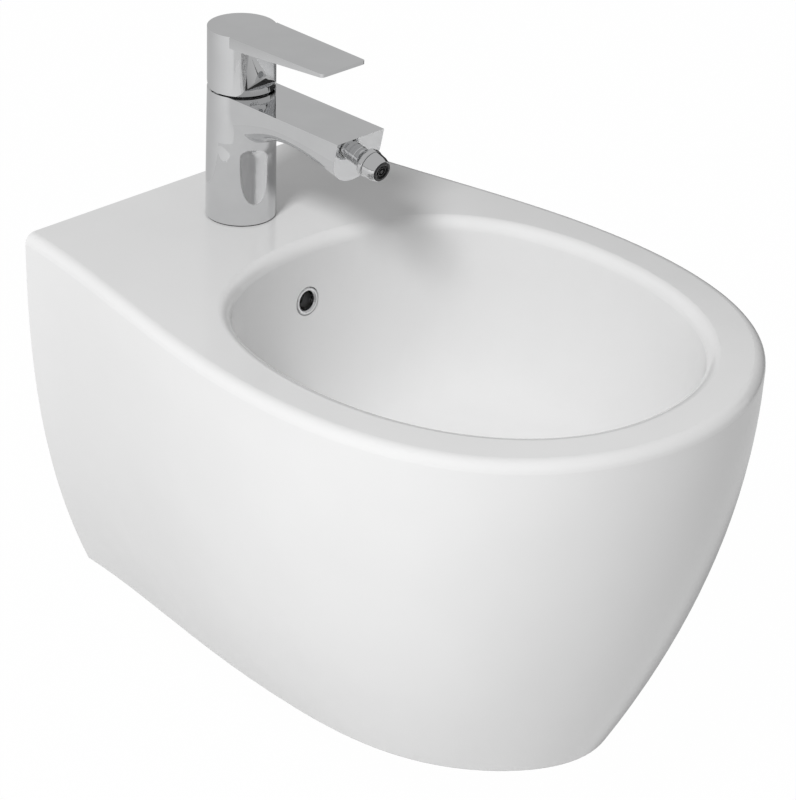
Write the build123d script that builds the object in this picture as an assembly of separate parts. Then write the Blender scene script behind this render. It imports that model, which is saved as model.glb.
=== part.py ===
from build123d import *

import os
from math import cos, radians, sin, sqrt, tan

# Wall-hung bidet with one tap hole, a single-lever mixer with a swivelling nozzle, an overflow and a
# push-button waste. Millimetres. The wall is the plane Y = 0, the front points to -Y, Z is up and the
# origin lies midway between the two wall studs.

# Outer shape of the ceramic body: half widths and where they lie, measured from the wall
body_height = 294.0
deck_above_studs = 80.0
top_length = 518.0
top_back_half = 143.0
top_side_half = 168.5
top_side_at = 150.0
top_widest_half = 185.5
top_widest_at = 298.0
low_length = 440.0
low_back_half = 90.0
low_side_half = 106.0
low_widest_half = 112.5
low_widest_at = 250.0
shoulder_fullness = 0.724
back_curve_power = 2.5
front_curve_power = 2.0
outer_rim_round = 8.0
foot_round = 3.0
skirt_levels = (0.0, 0.25, 0.5, 0.7, 0.86, 1.0)

# Bowl
rim_width = 39.0
opening_half = top_widest_half - rim_width
opening_widest_at = 298.0
opening_front_at = top_length - rim_width
opening_back_at = 144.0
opening_back_fullness = 0.745
inner_rim_round = 9.0
bowl_depth = 150.0
bowl_inward_power = 2.0
bowl_floor_power = 2.1
floor_half = 40.0
bowl_levels = (0.0, 0.18, 0.4, 0.62, 0.82, 1.0)

# Ceramic walls and the hollow behind and under the bowl
skirt_wall = 11.0
bowl_wall = 10.0
deck_thickness = 14.0
back_wall = 12.0
foot_plate = 10.0
service_half = 66.0
service_length = 290.0
service_top_above_studs = 50.0

# Wall fixing
stud_spacing = 180.0
stud_sleeve_bore = 6.5
sleeve_wall = 2.3
sleeve_clearance = 0.2
sleeve_flange_half = 15.0
sleeve_flange_thickness = 3.0
stud_boss_half = 19.0
stud_boss_length = 10.0
fixing_washer_half = 13.0
fixing_washer_thickness = 2.5
fixing_nut_flats = 19.0
fixing_nut_thickness = 10.0
fixing_nut_bore = 6.1

# Overflow
overflow_below_deck = 46.0
overflow_tube_half = 8.6
overflow_flange_half = 10.8
overflow_flange_thickness = 1.6
overflow_ring_wall = 1.4
overflow_ring_length = 10.0
overflow_edge_height = 1.3
overflow_crown_height = 2.4
overflow_crown_inset = 1.0
overflow_mouth_height = 1.0
overflow_hole_length = 20.0
duct_width = 30.0
duct_depth = 13.0
duct_wall = 7.0
duct_behind_opening = 22.0
duct_top_margin = 16.0
duct_below_floor = 12.0

# Waste with push-button plug
waste_from_wall = 245.0
waste_thread_half = 20.9
waste_wall = 3.4
waste_length = 82.0
outlet_thread_length = 21.0
outlet_relief_width = 1.5
outlet_relief_depth = 0.6
waste_hole_half = 23.0
waste_flange_half = 31.5
waste_flange_thickness = 3.0
waste_flange_round = 1.2
waste_mouth_half = 22.0
waste_recess_depth = 4.0
waste_recess_clearance = 0.8
waste_boss_half = 40.0
waste_boss_length = 46.0
seal_thickness = 2.0
seal_inset = 0.5
bottom_seal_half = 33.0
bottom_seal_thickness = 4.0
bottom_seal_plug = 6.0
bottom_seal_lip = 0.8
slip_ring_thickness = 2.0
backnut_flats = 58.0
backnut_thickness = 9.0
thread_clearance = 0.06
fit_clearance = 0.3
overflow_slot_width = 16.0
overflow_slot_height = 11.0
spider_below_floor = 44.0
spider_thickness = 6.0
spider_bar_width = 4.0
spider_hub_half = 7.0
plug_cap_half = 28.5
plug_cap_thickness = 3.0
plug_dome_rise = 2.2
plug_travel = 8.0
plug_ring_half = 24.0
plug_ring_wire = 1.6
plug_stem_half = 3.5
plug_head_half = 6.3
plug_head_thickness = 2.0
running_clearance = 0.05
plug_barrel_half = 7.5
plug_barrel_length = 24.0
plug_barrel_floor = 2.0
plug_stud_half = 3.9
plug_stud_end = 2.0
plug_engagement = 12.0

# Mixer body
tap_from_wall = 73.0
tap_hole_half = 17.5
gasket_thickness = 1.0
gasket_inset = 0.7
tap_base_half = 26.2
tap_top_half = 25.0
tap_height = 100.0
spout_half = 22.5
spout_reach = 123.5
spout_end_depth = 37.0
spout_waist_depth = 24.5
spout_waist_at = 68.0
spout_bend_at = 42.0
spout_bend_depth = 28.4
spout_root_depth = 40.0
spout_root_at = 16.0
spout_flare_at = 95.8
spout_flare_depth = 29.0
spout_side_share = 0.39
nozzle_tilt = 12.0
waterway_half = 5.0
gallery_half = 2.2
gallery_at = 21.3
recess_half = 20.0
recess_depth = 18.0
hose_thread_half = 4.5
hose_thread_length = 14.0
hose_spacing = 17.0
hose_setback = -4.0
hose_feed_half = 3.5

# Cartridge under the lever
cartridge_half = 17.5
cartridge_clearance = 0.15
cartridge_floor_above_deck = 52.0
cartridge_length = 36.0
cartridge_shell = 2.0
cartridge_base = 5.0
outlet_channel_floor = 1.2
outlet_channel_height = 2.5
disc_half = 14.5
disc_thickness = 4.0
disc_inlet_half = 2.2
disc_inlet_spacing = 11.0
disc_inlet_setback = -2.5
disc_outlet_half = 2.8
disc_outlet_setback = 5.0
moving_disc_half = 10.8
mixing_space_half = 8.5
mixing_space_start = 0.4
mixing_space_depth = 2.0
carrier_flange_thickness = 3.0
carrier_half_length = 4.6
carrier_top_below_pivot = 13.5
turret_base_thickness = 12.0
turret_neck_half = 10.5
turret_neck_above_pivot = 5.0
turret_slot_wall = 1.5
cartridge_nut_half = 19.6
cartridge_nut_thread = 9.0
cartridge_nut_flats = 33.0
cartridge_nut_hex = 3.0
cartridge_nut_bore = 11.5
stem_side = 8.0
stem_clearance = 0.1
stem_top_above_deck = 126.0
stem_foot_half = 2.6
stem_foot_below_pivot = 15.0
stem_waist_half = 2.0
stem_waist_below_pivot = 7.0
pivot_above_deck = 104.0
pivot_pin_half = 1.5
pin_end_gap = 0.1
lift_range = 16.0
cover_half = 20.2
cover_thickness = 1.2
cover_rise = 3.0
cover_bore = 11.5
cover_lip = 2.0
cover_slope_width = 3.0

# Lever handle
lever_gap = 1.3
lever_top_above_deck = 146.0
lever_reach = 105.0
lever_root_half = 23.0
lever_root_at = 12.0
lever_tip_half = 20.8
lever_tip_thickness = 2.6
lever_root_thickness = 8.0
lever_corner_round = 2.5
cap_band_height = 4.5
scoop_half_low = 15.0
scoop_half_high = 12.5
scoop_depth = 5.0
cap_cavity_half = 17.0
cap_skirt_half = 21.8
cap_skirt_depth = 3.5
cap_skirt_rear_depth = 7.5
cap_roof = 5.0
socket_block_side = 13.0
socket_block_depth = 22.0
socket_end_gap = 0.2
lift_relief_start = 4.0
grub_screw_half = 2.5
grub_screw_length = 6.0
hex_key_half = 1.25
hex_key_depth = 2.5
grub_screw_above_deck = 114.5
index_half = 2.6
index_thickness = 1.0

# Nozzle on the spout end, measured along its axis from the spout face
adapter_thread_half = 6.8
adapter_thread_length = 9.0
adapter_end_gap = 0.5
adapter_neck_half = 7.2
adapter_neck_length = 6.2
adapter_bore = 3.2
ball_half = 7.4
ball_at = 12.3
ball_stem_half = 5.0
liner_thickness = 0.8
liner_reach = 3.2
liner_rear_cut = 0.3
ball_nut_rear = 9.3
ball_nut_rear_half = 9.6
ball_nut_half = 10.5
ball_nut_front = 14.2
ball_nut_bevel = 1.6
ball_nut_edge = 0.5
nozzle_thread_half = 9.4
nozzle_shoulder_half = 10.0
nozzle_end = 24.7
nozzle_end_half = 7.9
nozzle_bore = 6.4
nozzle_groove = 0.5
nozzle_bulge_half = 9.35
nozzle_bulge_at = 20.7
aerator_flange_half = 7.4
aerator_flange_thickness = 0.8
aerator_length = 4.4
aerator_opening = 5.4
insert_half = 5.35
insert_core_half = 1.5
insert_ring_half = 3.6
insert_ring_wall = 0.6
insert_floor_gap = 0.4
insert_ring_depth = 1.2
insert_rise = 0.2

# Fixing of the mixer under the deck
mixer_stud_half = 3.9
mixer_stud_setback = 12.5
mixer_stud_in_body = 12.0
mixer_stud_end_gap = 1.0
mixer_stud_length = 84.0
horseshoe_half = 23.0
horseshoe_gasket_thickness = 3.0
horseshoe_plate_thickness = 2.5
horseshoe_slot_half = 8.6
stud_nut_flats = 13.0
stud_nut_length = 16.0

# How far a cutting shape runs past the face it cuts, and how close an edge must lie to a height
past = 1.0
near = 0.1

# Heights and places that follow from the sizes above
deck_z = deck_above_studs
foot_z = deck_z - body_height
floor_z = deck_z - bowl_depth
tap_place = Pos(0, -tap_from_wall, deck_z)
waste_place = Pos(0, -waste_from_wall, floor_z)
cartridge_top = cartridge_floor_above_deck + cartridge_length
liner_outer = ball_half + running_clearance + liner_thickness
socket_half = liner_outer + running_clearance


def blend(start, end, share):
    """Value between start and end."""
    return start + (end - start) * share


def cylinder(half, low, high):
    """Upright cylinder of the given radius between two heights."""
    return Pos(0, 0, low) * Cylinder(half, high - low, align=(Align.CENTER, Align.CENTER, Align.MIN))


def ring(outer, inner, low, high):
    """Upright ring between two heights."""
    return cylinder(outer, low, high) - cylinder(inner, low - past, high + past)


def box(x_low, x_high, y_low, y_high, z_low, z_high):
    """Box between two corners."""
    size = Box(x_high - x_low, y_high - y_low, z_high - z_low, align=(Align.MIN, Align.MIN, Align.MIN))
    return Pos(x_low, y_low, z_low) * size


def hexagon(flats, low, high):
    """Upright hexagonal bar between two heights."""
    face = RegularPolygon(flats / 2, 6, major_radius=False)
    return Pos(0, 0, low) * extrude(face, high - low)


def turned(points):
    """Solid turned about Z from a closed profile of radius and height pairs."""
    return revolve(make_face(Plane.XZ * Polyline(*points, close=True)), Axis.Z)


def edges_at(shape, height):
    """Edges that lie level at a height."""
    return shape.edges().filter_by_position(Axis.Z, height - near, height + near)


def save(shape, name):
    """Write one piece, or one set of identical pieces, to its own file."""
    export_step(shape, f"parts/{name}.step")


# Ceramic body

def skirt_points(depth_share, inset):
    """Half outline of the body at a share of its height, from the wall to the front."""
    lean = sqrt(0.5) * inset
    top_shoulder_at = top_widest_at + shoulder_fullness * (top_length - top_widest_at)
    low_shoulder_at = low_widest_at + shoulder_fullness * (low_length - low_widest_at)
    stations = [
        (top_back_half, 0.0, low_back_half, 0.0, inset, 0.0),
        (top_side_half, top_side_at, low_side_half, top_side_at, inset, 0.0),
        (top_widest_half, top_widest_at, low_widest_half, low_widest_at, inset, 0.0),
        (
            shoulder_fullness * top_widest_half,
            top_shoulder_at,
            shoulder_fullness * low_widest_half,
            low_shoulder_at,
            lean,
            lean,
        ),
        (0.0, top_length, 0.0, low_length, 0.0, inset),
    ]
    points = []
    for top_half, top_at, low_half, low_at, less_half, less_at in stations:
        power = blend(back_curve_power, front_curve_power, (top_at / top_length) ** 2)
        share = depth_share ** power
        half = blend(top_half, low_half, share) - less_half
        at = blend(top_at, low_at, share) - less_at
        points.append((half, at))
    return points


def skirt_section(depth_share, inset=0.0, back=0.0):
    """Level cut through the body, closed by a straight edge at the wall."""
    z = deck_z - depth_share * body_height
    right = skirt_points(depth_share, inset)
    right[0] = (right[0][0], back)
    left = [(-half, at) for half, at in reversed(right[:-1])]
    curve = Spline(*[(half, -at, z) for half, at in right + left])
    return make_face(Wire([curve, Line(curve @ 1, curve @ 0)]))


def bowl_section(reach, grow):
    """Level cut through the bowl: reach 0 is the opening, 1 is the floor."""
    diagonal = sqrt(0.5)
    rim = [
        (0.0, opening_front_at + grow),
        (
            shoulder_fullness * opening_half + diagonal * grow,
            blend(opening_widest_at, opening_front_at, shoulder_fullness) + diagonal * grow,
        ),
        (opening_half + grow, opening_widest_at),
        (
            opening_back_fullness * opening_half + diagonal * grow,
            blend(opening_widest_at, opening_back_at, opening_back_fullness) - diagonal * grow,
        ),
        (0.0, opening_back_at - grow),
    ]
    floor = [
        (0.0, waste_from_wall + floor_half + grow),
        (diagonal * (floor_half + grow), waste_from_wall + diagonal * (floor_half + grow)),
        (floor_half + grow, waste_from_wall),
        (diagonal * (floor_half + grow), waste_from_wall - diagonal * (floor_half + grow)),
        (0.0, waste_from_wall - floor_half - grow),
    ]
    inward = reach ** bowl_inward_power
    drop = (1 - (1 - reach) ** bowl_floor_power) * (bowl_depth + grow)
    half_line = [(blend(a[0], b[0], inward), blend(a[1], b[1], inward)) for a, b in zip(rim, floor)]
    other = [(-half, at) for half, at in reversed(half_line[1:-1])]
    points = [(half, -at, deck_z - drop) for half, at in half_line + other]
    return make_face(Wire([Spline(*points, periodic=True)]))


def bowl_solid(grow):
    """Bowl space, or with grow the outside of its wall."""
    return loft([bowl_section(reach, grow) for reach in bowl_levels])


def duct_solids():
    """Overflow duct behind and under the bowl: its outside and its space."""
    space_back = opening_back_at - duct_behind_opening
    space_front = space_back + duct_depth
    space_top = deck_z - overflow_below_deck + duct_top_margin
    run_top = floor_z - duct_below_floor
    run_low = run_top - duct_depth
    half = duct_width / 2
    space = box(-half, half, -space_front, -space_back, run_low, space_top)
    space += box(-half, half, -waste_from_wall, -space_back, run_low, run_top)
    thick = half + duct_wall
    outside = box(
        -thick, thick, -space_front - duct_wall, -space_back + duct_wall,
        run_low - duct_wall, space_top + duct_wall,
    )
    outside += box(
        -thick, thick, -waste_from_wall, -space_back + duct_wall,
        run_low - duct_wall, run_top + duct_wall,
    )
    return outside, space


def bowl_back_at(drop):
    """Distance from the wall to the back of the bowl at a depth below the deck."""
    reach = 1 - (1 - drop / bowl_depth) ** (1 / bowl_floor_power)
    return blend(opening_back_at, waste_from_wall - floor_half, reach ** bowl_inward_power)


def overflow_place():
    """Seat of the overflow ring on the back of the bowl, with Z pointing into the bowl."""
    at = bowl_back_at(overflow_below_deck)
    run = bowl_back_at(overflow_below_deck + near) - bowl_back_at(overflow_below_deck - near)
    seat = Plane(
        origin=(0, -at, deck_z - overflow_below_deck),
        x_dir=(1, 0, 0),
        z_dir=(0, -2 * near, run),
    )
    return seat.location


def ceramic_body():
    # The outside runs a little through the wall plane and is cut flat there
    body = loft([skirt_section(level, 0.0, -past) for level in skirt_levels])
    body = fillet(edges_at(body, deck_z).sort_by(Edge.length)[-1], outer_rim_round)
    body = fillet(edges_at(body, foot_z).sort_by(Edge.length)[-1], foot_round)
    body -= box(-top_length, top_length, 0, top_length, foot_z - past, deck_z + past)

    # The hollow between skirt and bowl stops short of the deck, the back wall and the foot plate
    hollow = loft([skirt_section(level, skirt_wall, back_wall) for level in skirt_levels])
    hollow &= box(
        -top_length, top_length, -top_length, -back_wall, foot_z + foot_plate, deck_z - deck_thickness
    )
    duct_outside, duct_space = duct_solids()
    hollow -= bowl_solid(bowl_wall)
    hollow -= duct_outside
    hollow -= waste_place * cylinder(waste_boss_half, -waste_boss_length, 0)
    for side in (-1, 1):
        boss = Pos(side * stud_spacing / 2, -back_wall, 0) * Rot(X=90)
        hollow -= boss * cylinder(stud_boss_half, -past, stud_boss_length)
    body -= hollow

    # Way in for the trap and the supply pipes, through the back wall and the foot plate
    body -= box(
        -service_half, service_half, -back_wall - past, past, foot_z - past, service_top_above_studs
    )
    body -= box(
        -service_half, service_half, -service_length, past, foot_z - past, foot_z + foot_plate + past
    )

    body -= bowl_solid(0.0)
    opening_edge = edges_at(body, deck_z).filter_by_position(
        Axis.Y, -opening_front_at - near, -opening_back_at + near
    )
    body = fillet(opening_edge, inner_rim_round)

    body -= tap_place * cylinder(tap_hole_half, -deck_thickness - past, past)
    body -= duct_space
    body -= waste_place * cylinder(waste_hole_half, -waste_boss_length - past, past)
    body -= waste_place * cylinder(
        waste_flange_half + waste_recess_clearance, -waste_recess_depth, waste_recess_depth
    )
    overflow = overflow_place()
    body -= overflow * cylinder(overflow_tube_half + fit_clearance, -overflow_hole_length, past)
    body -= overflow * cylinder(
        overflow_flange_half + fit_clearance, -overflow_flange_thickness, overflow_flange_half
    )
    hole_half = stud_sleeve_bore + sleeve_wall + sleeve_clearance
    for side in (-1, 1):
        hole = Pos(side * stud_spacing / 2, 0, 0) * Rot(X=90)
        body -= hole * cylinder(hole_half, -past, back_wall + stud_boss_length + past)
    return body


def overflow_ring():
    seat = -overflow_flange_thickness
    bore = overflow_tube_half - overflow_ring_wall
    profile = [
        (bore, seat - overflow_ring_length),
        (overflow_tube_half, seat - overflow_ring_length),
        (overflow_tube_half, seat),
        (overflow_flange_half, seat),
        (overflow_flange_half, seat + overflow_edge_height),
        (overflow_flange_half - overflow_crown_inset, seat + overflow_crown_height),
        (overflow_tube_half, seat + overflow_crown_height),
        (bore, seat + overflow_mouth_height),
    ]
    return overflow_place() * turned(profile)


# Wall fixing, one set on each stud

def on_both_studs(shape):
    """The same piece on the left and the right stud, with Z pointing away from the wall."""
    placed = [Pos(side * stud_spacing / 2, 0, 0) * Rot(X=90) * shape for side in (-1, 1)]
    return Compound(children=placed)


def fixing_sleeves():
    seat = back_wall + stud_boss_length
    outer = stud_sleeve_bore + sleeve_wall
    sleeve = ring(outer, stud_sleeve_bore, 0, seat + sleeve_flange_thickness)
    sleeve += ring(sleeve_flange_half, stud_sleeve_bore, seat, seat + sleeve_flange_thickness)
    return on_both_studs(sleeve)


def fixing_washers():
    seat = back_wall + stud_boss_length + sleeve_flange_thickness
    return on_both_studs(ring(fixing_washer_half, stud_sleeve_bore, seat, seat + fixing_washer_thickness))


def fixing_nuts():
    seat = back_wall + stud_boss_length + sleeve_flange_thickness + fixing_washer_thickness
    nut = hexagon(fixing_nut_flats, seat, seat + fixing_nut_thickness)
    return on_both_studs(nut - cylinder(fixing_nut_bore, seat - past, seat + fixing_nut_thickness + past))


# Waste, built about its own axis with height 0 at the bowl floor

flange_low = seal_thickness - waste_recess_depth
flange_top = flange_low + waste_flange_thickness
tube_bore = waste_thread_half - waste_wall
spider_top = spider_thickness - spider_below_floor
barrel_top = spider_top + plug_barrel_length
cap_closed_low = flange_top + plug_ring_wire + fit_clearance
cap_low = cap_closed_low + plug_travel


def waste_body():
    body = cylinder(waste_flange_half, flange_low, flange_top)
    body = fillet(edges_at(body, flange_top), waste_flange_round)
    body += cylinder(waste_thread_half, flange_low - waste_length, flange_low)

    # A relief parts the thread for the trap from the thread for the back nut
    relief_low = flange_low - waste_length + outlet_thread_length
    relief_bottom = waste_thread_half - outlet_relief_depth
    body -= ring(waste_flange_half, relief_bottom, relief_low, relief_low + outlet_relief_width)
    body -= cylinder(tube_bore, flange_low - waste_length - past, flange_top + past)
    mouth_depth = waste_mouth_half - tube_bore
    body -= turned([
        (0, flange_top),
        (waste_mouth_half, flange_top),
        (tube_bore, flange_top - mouth_depth),
        (0, flange_top - mouth_depth),
    ])
    slot_top = -duct_below_floor - (duct_depth - overflow_slot_height) / 2
    body -= box(
        -overflow_slot_width / 2, overflow_slot_width / 2, -waste_flange_half, waste_flange_half,
        slot_top - overflow_slot_height, slot_top,
    )
    for turn in (0, 90):
        bar = box(
            -tube_bore - past, tube_bore + past, -spider_bar_width / 2, spider_bar_width / 2,
            -spider_below_floor, spider_top,
        )
        body += Rot(Z=turn) * bar
    body += cylinder(spider_hub_half, -spider_below_floor, spider_top)
    body -= cylinder(plug_stud_half + thread_clearance, -spider_below_floor - past, spider_top + past)
    return waste_place * body


def waste_top_seal():
    outer = waste_flange_half - seal_inset
    return waste_place * ring(outer, waste_thread_half + fit_clearance, -waste_recess_depth, flange_low)


def waste_bottom_seal():
    low = -waste_boss_length
    bore = waste_thread_half + thread_clearance
    profile = [
        (bore, low - bottom_seal_thickness),
        (bottom_seal_half, low - bottom_seal_thickness),
        (bottom_seal_half, low),
        (waste_hole_half - fit_clearance, low),
        (bore + bottom_seal_lip, low + bottom_seal_plug),
        (bore, low + bottom_seal_plug),
    ]
    return waste_place * turned(profile)


def waste_slip_ring():
    high = -waste_boss_length - bottom_seal_thickness
    bore = waste_thread_half + fit_clearance
    return waste_place * ring(bottom_seal_half, bore, high - slip_ring_thickness, high)


def waste_backnut():
    high = -waste_boss_length - bottom_seal_thickness - slip_ring_thickness
    nut = hexagon(backnut_flats, high - backnut_thickness, high)
    bore = cylinder(waste_thread_half + thread_clearance, high - backnut_thickness - past, high + past)
    return waste_place * (nut - bore)


def plug_barrel():
    barrel = cylinder(plug_barrel_half, spider_top, barrel_top)
    barrel += cylinder(plug_stud_half, -spider_below_floor - plug_stud_end, spider_top)
    bore_low = spider_top + plug_barrel_floor
    barrel -= cylinder(plug_stem_half + running_clearance, bore_low, barrel_top + past)
    return waste_place * barrel


def plug_stem():
    low = barrel_top - plug_engagement
    stem = cylinder(plug_stem_half, low, cap_low)
    stem += cylinder(plug_head_half, cap_low - plug_head_thickness, cap_low)
    return waste_place * stem


def waste_plug():
    rim = cap_low + plug_cap_thickness
    radius = (plug_cap_half ** 2 + plug_dome_rise ** 2) / (2 * plug_dome_rise)
    dome = Pos(0, 0, rim + plug_dome_rise - radius) * Sphere(radius)
    cap = cylinder(plug_cap_half, cap_low, rim + plug_dome_rise + past) & dome
    cap -= Pos(0, 0, cap_low) * Torus(plug_ring_half, plug_ring_wire + running_clearance)
    return waste_place * cap


def plug_ring():
    return waste_place * Pos(0, 0, cap_low) * Torus(plug_ring_half, plug_ring_wire)


# Mixer body, built about its own axis with height 0 at the deck

face_plane = Plane(
    origin=(0, -spout_reach, tap_height),
    x_dir=(1, 0, 0),
    z_dir=(0, -cos(radians(nozzle_tilt)), -sin(radians(nozzle_tilt))),
)
nozzle_drop = spout_side_share * spout_end_depth
nozzle_place = tap_place * face_plane.location * Pos(0, -nozzle_drop, 0)
cartridge_bore = cartridge_half + cartridge_clearance
pivot_place = tap_place * Pos(0, 0, pivot_above_deck)


def spout_section(plane, depth):
    """Flat top, upright sides and a rounded underside, hung from the origin of the plane."""
    side = spout_side_share * depth
    top = Line((-spout_half, 0), (spout_half, 0))
    right = Line((spout_half, 0), (spout_half, -side))
    bottom = EllipticalCenterArc((0, -side), spout_half, depth - side, 180, arc_size=180)
    left = Line((-spout_half, -side), (-spout_half, 0))
    return plane * make_face(Wire([top, right, bottom, left]))


def spout():
    shaft = [
        (spout_root_at, spout_root_depth),
        (spout_bend_at, spout_bend_depth),
        (spout_waist_at, spout_waist_depth),
        (spout_flare_at, spout_flare_depth),
    ]
    sections = [
        spout_section(Plane(origin=(0, -at, tap_height), x_dir=(1, 0, 0), z_dir=(0, -1, 0)), depth)
        for at, depth in shaft
    ]
    sections.append(spout_section(face_plane, spout_end_depth))
    return loft(sections)


def mixer_body():
    body = turned([
        (0, gasket_thickness),
        (tap_base_half, gasket_thickness),
        (tap_top_half, tap_height),
        (0, tap_height),
    ])
    body += spout()
    body -= cylinder(cartridge_bore, cartridge_floor_above_deck, tap_height + past)
    body -= cylinder(cartridge_nut_half + thread_clearance, cartridge_top, tap_height + past)

    # Recess, feeds and stud thread in the foot
    ceiling = gasket_thickness + recess_depth
    body -= cylinder(recess_half, gasket_thickness - past, ceiling)
    for side in (-1, 1):
        feed = Pos(side * hose_spacing / 2, hose_setback, 0)
        body -= feed * cylinder(hose_thread_half, ceiling - past, ceiling + hose_thread_length)
        body -= feed * cylinder(hose_feed_half, ceiling, cartridge_floor_above_deck + past)
    stud_hole = cylinder(mixer_stud_half + thread_clearance, ceiling - past, ceiling + mixer_stud_in_body)
    body -= Pos(0, mixer_stud_setback, 0) * stud_hole

    # Way out: from the cartridge floor up a gallery in the front wall, along the spout to the nozzle
    socket_low = face_plane.location * Pos(0, -nozzle_drop, -adapter_thread_length)
    body -= socket_low * cylinder(adapter_thread_half + thread_clearance, 0, adapter_thread_length + past)
    turn = socket_low.position
    outlet_low = cartridge_floor_above_deck + outlet_channel_floor
    body -= box(
        -gallery_half, gallery_half, -gallery_at, -cartridge_half + past,
        outlet_low, outlet_low + outlet_channel_height,
    )
    body -= Pos(0, -gallery_at, 0) * cylinder(gallery_half, outlet_low, turn.Z)
    body -= Pos(0, turn.Y, turn.Z) * Rot(X=-90) * cylinder(waterway_half, -past, -gallery_at - turn.Y)
    return tap_place * body


def base_gasket():
    return tap_place * ring(tap_base_half - gasket_inset, recess_half, 0, gasket_thickness)


def mixer_stud():
    high = gasket_thickness + recess_depth + mixer_stud_in_body - mixer_stud_end_gap
    stud = cylinder(mixer_stud_half, high - mixer_stud_length, high)
    return tap_place * Pos(0, mixer_stud_setback, 0) * stud


def horseshoe(low, high):
    """Plate that clamps the mixer from below, open towards the front for the hoses."""
    plate = cylinder(horseshoe_half, low, high)
    slot_start = hose_setback + horseshoe_slot_half
    slot = box(
        -hose_spacing / 2 - horseshoe_slot_half, hose_spacing / 2 + horseshoe_slot_half,
        -horseshoe_half - past, slot_start, low - past, high + past,
    )
    hole = Pos(0, mixer_stud_setback, 0) * cylinder(mixer_stud_half + fit_clearance, low - past, high + past)
    return tap_place * (plate - slot - hole)


gasket_low = -deck_thickness - horseshoe_gasket_thickness
plate_low = gasket_low - horseshoe_plate_thickness


def stud_nut():
    nut = hexagon(stud_nut_flats, plate_low - stud_nut_length, plate_low)
    nut -= cylinder(mixer_stud_half + thread_clearance, plate_low - stud_nut_length - past, plate_low + past)
    return tap_place * Pos(0, mixer_stud_setback, 0) * nut


# Cartridge

shell_inner = cartridge_half - cartridge_shell
disc_low = cartridge_floor_above_deck + cartridge_base
slide_low = disc_low + disc_thickness
carrier_low = slide_low + disc_thickness
turret_low = carrier_low + carrier_flange_thickness + running_clearance
turret_base_top = turret_low + turret_base_thickness
slot_half = stem_side / 2 + stem_clearance


def disc_openings(low, high):
    """Two inlets and one outlet through the seat of the discs."""
    openings = Pos(0, disc_outlet_setback, 0) * cylinder(disc_outlet_half, low, high)
    for side in (-1, 1):
        inlet = Pos(side * disc_inlet_spacing / 2, disc_inlet_setback, 0)
        openings += inlet * cylinder(disc_inlet_half, low, high)
    return openings


def cartridge_housing():
    low = cartridge_floor_above_deck
    channel_low = low + outlet_channel_floor
    shell = cylinder(cartridge_half, low, cartridge_top)
    shell -= cylinder(shell_inner, disc_low, turret_base_top + fit_clearance)
    shell -= cylinder(turret_neck_half + fit_clearance, disc_low, cartridge_top + past)
    shell -= disc_openings(channel_low + past, disc_low + past)
    for side in (-1, 1):
        feed = Pos(side * hose_spacing / 2, hose_setback, 0)
        shell -= feed * cylinder(hose_feed_half, low - past, low + cartridge_base / 2)
    shell -= box(
        -disc_outlet_half, disc_outlet_half, -cartridge_half - past, disc_outlet_setback,
        channel_low, channel_low + outlet_channel_height,
    )
    return tap_place * shell


def fixed_disc():
    high = slide_low - running_clearance
    return tap_place * (cylinder(disc_half, disc_low, high) - disc_openings(disc_low - past, high + past))


def moving_disc():
    disc = cylinder(moving_disc_half, slide_low, carrier_low)
    space_top = slide_low + mixing_space_depth
    space = cylinder(mixing_space_half, slide_low - past, space_top)
    space &= box(
        -mixing_space_half, mixing_space_half, mixing_space_start, mixing_space_half,
        slide_low - past, space_top,
    )
    return tap_place * (disc - space)


def disc_carrier():
    """Slider on the moving disc, with a fork for the foot of the stem."""
    post_low = carrier_low + carrier_flange_thickness
    post_top = pivot_above_deck - carrier_top_below_pivot
    half = stem_side / 2 - stem_clearance
    carrier = cylinder(moving_disc_half, carrier_low, post_low)
    carrier += box(-half, half, -carrier_half_length, carrier_half_length, post_low, post_top)
    pocket_half = stem_foot_half + stem_clearance
    pocket_low = pivot_above_deck - stem_foot_below_pivot - pocket_half
    carrier -= box(-half - past, half + past, -pocket_half, pocket_half, pocket_low, post_top + past)
    return tap_place * carrier


def cartridge_turret():
    neck_top = pivot_above_deck + turret_neck_above_pivot
    slot_reach = turret_neck_half - turret_slot_wall
    turret = cylinder(shell_inner - running_clearance, turret_low, turret_base_top)
    turret += cylinder(turret_neck_half, turret_low, neck_top)
    turret -= box(-slot_half, slot_half, -slot_reach, slot_reach, turret_low - past, neck_top + past)
    turret -= Pos(0, 0, pivot_above_deck) * Rot(Y=90) * Cylinder(pivot_pin_half, 3 * turret_neck_half)
    return tap_place * turret


def pivot_pin():
    half_length = sqrt(turret_neck_half ** 2 - pivot_pin_half ** 2) - pin_end_gap
    return pivot_place * Rot(Y=90) * Cylinder(pivot_pin_half, 2 * half_length)


def cartridge_stem():
    half = stem_side / 2
    waist_top = pivot_above_deck - stem_waist_below_pivot
    foot = pivot_above_deck - stem_foot_below_pivot
    stem = box(-half, half, -half, half, waist_top, stem_top_above_deck)
    stem += box(-half, half, -stem_waist_half, stem_waist_half, foot, waist_top)
    stem += Pos(0, 0, foot) * Rot(Y=90) * Cylinder(stem_foot_half, stem_side)
    stem -= Pos(0, 0, pivot_above_deck) * Rot(Y=90) * Cylinder(
        pivot_pin_half + running_clearance, 2 * stem_side
    )
    return tap_place * stem


def cartridge_nut():
    nut = cylinder(cartridge_nut_half, cartridge_top, cartridge_top + cartridge_nut_thread)
    hex_low = cartridge_top + cartridge_nut_thread
    hex_top = hex_low + cartridge_nut_hex
    nut += hexagon(cartridge_nut_flats, hex_low, hex_top)
    return tap_place * (nut - cylinder(cartridge_nut_bore, cartridge_top - past, hex_top + past))


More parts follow.
